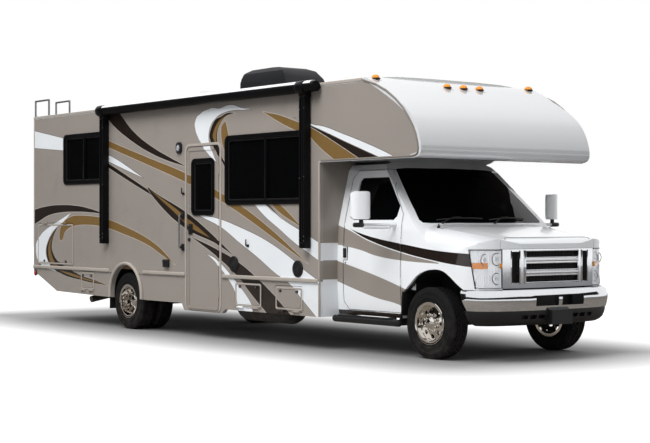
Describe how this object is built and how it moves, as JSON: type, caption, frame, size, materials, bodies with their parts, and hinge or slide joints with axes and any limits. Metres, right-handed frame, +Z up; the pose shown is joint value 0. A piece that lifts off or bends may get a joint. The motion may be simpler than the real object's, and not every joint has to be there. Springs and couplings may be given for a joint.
{
  "type": "motorhome",
  "caption": "Motorhome on a cutaway van cab with an overcab nose, side awning, roof unit and ladder, hinged doors, hatches and hood, and steered rolling wheels.",
  "frame": {"origin": "on the ground under the middle of the vehicle's length and width", "axes": "+X forward, +Y to the vehicle's left, +Z up"},
  "size_m": [9.395, 3.0694, 3.375],
  "materials": {
    "frame_black": "satin black chassis paint",
    "engine_metal": "bare cast metal",
    "tyre": "black tyre rubber",
    "wheel_chrome": "bright wheel covers",
    "floor_wood": "plywood floor",
    "taupe_panel": "gloss taupe laminate with curved white, gold and dark stripes",
    "roof_white": "white roof membrane",
    "cap_gloss": "gloss white moulding",
    "dark_glass": "dark tinted glass in black frames",
    "black_plastic": "black moulded plastic",
    "awning_black": "black awning arms and case",
    "grey_plastic": "dark grey moulded plastic",
    "ladder_metal": "bright aluminium tube",
    "cab_white": "white cab paint with dark and taupe bands",
    "trim_chrome": "chrome",
    "lamp_clear": "clear lamp lens with an amber corner",
    "seat_fabric": "woven seat cloth",
    "exhaust_steel": "dull exhaust steel"
  },
  "bodies": {
    "coach": {"chassis_frame": "frame_black", "engine": "engine_metal", "front_axle": "frame_black", "rear_axle": "frame_black", "house_floor": "floor_wood", "house_wall_right": "taupe_panel", "house_wall_left": "taupe_panel", "house_wall_rear": "taupe_panel", "house_wall_front": "taupe_panel", "house_roof": "roof_white", "overcab_cap": "cap_gloss", "windows_right": "dark_glass", "windows_left": "dark_glass", "entry_steps": "black_plastic", "awning": "awning_black", "roof_air_conditioner": "grey_plastic", "roof_vents": "roof_white", "ladder": "ladder_metal", "rear_bumper": "black_plastic", "cab_shell": "cab_white", "fender_left": "cab_white", "fender_right": "cab_white", "windshield": "dark_glass", "grille": "trim_chrome", "headlamps": "lamp_clear", "front_bumper": "trim_chrome", "air_dam": "black_plastic", "running_boards": "black_plastic", "cab_seats": "seat_fabric", "dashboard": "grey_plastic", "steering_wheel": "black_plastic", "exhaust": "exhaust_steel", "gas_tank": "frame_black"},
    "knuckle_left": {"knuckle_left": "frame_black"},
    "knuckle_right": {"knuckle_right": "frame_black"},
    "front_wheel_left": {"tyre_front_left": "tyre", "wheel_front_left": "wheel_chrome"},
    "front_wheel_right": {"tyre_front_right": "tyre", "wheel_front_right": "wheel_chrome"},
    "rear_wheels_left": {"tyres_rear_left": "tyre", "wheels_rear_left": "wheel_chrome"},
    "rear_wheels_right": {"tyres_rear_right": "tyre", "wheels_rear_right": "wheel_chrome"},
    "entry_door": {"entry_door": "taupe_panel", "entry_door_window": "dark_glass"},
    "hatch_right_rear": {"hatch_right_rear": "taupe_panel"},
    "hatch_right_mid": {"hatch_right_mid": "taupe_panel"},
    "hatch_right_front": {"hatch_right_front": "taupe_panel"},
    "hatch_right_step": {"hatch_right_step": "taupe_panel"},
    "hatch_left_rear": {"hatch_left_rear": "taupe_panel"},
    "hatch_left_front": {"hatch_left_front": "taupe_panel"},
    "hood": {"hood": "cab_white"},
    "cab_door_left": {"cab_door_left": "cab_white", "door_glass_left": "dark_glass"},
    "cab_door_right": {"cab_door_right": "cab_white", "door_glass_right": "dark_glass"}
  },
  "joints": [
    {"name": "steer_left", "type": "hinge", "parent": "coach", "child": "knuckle_left", "pos_m": [3.7625, 0.821, 0.372], "axis": [0, 0, 1], "range_deg": [-32, 32]},
    {"name": "steer_right", "type": "hinge", "parent": "coach", "child": "knuckle_right", "pos_m": [3.7625, -0.821, 0.372], "axis": [0, 0, 1], "range_deg": [-32, 32]},
    {"name": "front_wheel_left_spin", "type": "hinge", "parent": "knuckle_left", "child": "front_wheel_left", "pos_m": [3.7625, 0.881, 0.372], "axis": [0, 1, 0], "continuous": true},
    {"name": "front_wheel_right_spin", "type": "hinge", "parent": "knuckle_right", "child": "front_wheel_right", "pos_m": [3.7625, -0.881, 0.372], "axis": [0, 1, 0], "continuous": true},
    {"name": "rear_wheels_left_spin", "type": "hinge", "parent": "coach", "child": "rear_wheels_left", "pos_m": [-1.9015, 1.118, 0.372], "axis": [0, 1, 0], "continuous": true},
    {"name": "rear_wheels_right_spin", "type": "hinge", "parent": "coach", "child": "rear_wheels_right", "pos_m": [-1.9015, -1.118, 0.372], "axis": [0, 1, 0], "continuous": true},
    {"name": "entry_door_hinge", "type": "hinge", "parent": "coach", "child": "entry_door", "pos_m": [0.3025, -1.2695, 1.25], "axis": [0, 0, 1], "range_deg": [0, 110]},
    {"name": "hatch_right_rear_hinge", "type": "hinge", "parent": "coach", "child": "hatch_right_rear", "pos_m": [-3.8805, -1.2695, 1.395], "axis": [-1, 0, 0], "range_deg": [0, 100]},
    {"name": "hatch_right_mid_hinge", "type": "hinge", "parent": "coach", "child": "hatch_right_mid", "pos_m": [-2.943, -1.2695, 0.475], "axis": [1, 0, 0], "range_deg": [0, 90]},
    {"name": "hatch_right_front_hinge", "type": "hinge", "parent": "coach", "child": "hatch_right_front", "pos_m": [0.9055, -1.2695, 0.408], "axis": [1, 0, 0], "range_deg": [0, 90]},
    {"name": "hatch_right_step_hinge", "type": "hinge", "parent": "coach", "child": "hatch_right_step", "pos_m": [1.7005, -1.2695, 0.408], "axis": [1, 0, 0], "range_deg": [0, 90]},
    {"name": "hatch_left_rear_hinge", "type": "hinge", "parent": "coach", "child": "hatch_left_rear", "pos_m": [-3.8805, 1.2695, 1.395], "axis": [1, 0, 0], "range_deg": [0, 100]},
    {"name": "hatch_left_front_hinge", "type": "hinge", "parent": "coach", "child": "hatch_left_front", "pos_m": [0.9055, 1.2695, 0.408], "axis": [-1, 0, 0], "range_deg": [0, 90]},
    {"name": "cab_door_left_hinge", "type": "hinge", "parent": "coach", "child": "cab_door_left", "pos_m": [3.3325, 1.0112, 0.96], "axis": [0, 0, -1], "range_deg": [0, 65]},
    {"name": "cab_door_right_hinge", "type": "hinge", "parent": "coach", "child": "cab_door_right", "pos_m": [3.3325, -1.0112, 0.96], "axis": [0, 0, 1], "range_deg": [0, 65]},
    {"name": "hood_hinge", "type": "hinge", "parent": "coach", "child": "hood", "pos_m": [3.7925, 0, 1.33], "axis": [0, -1, 0], "range_deg": [0, 50]}
  ],
  "couplings": [
    {"joint": "steer_right", "follows": "steer_left", "ratio": 1}
  ]
}
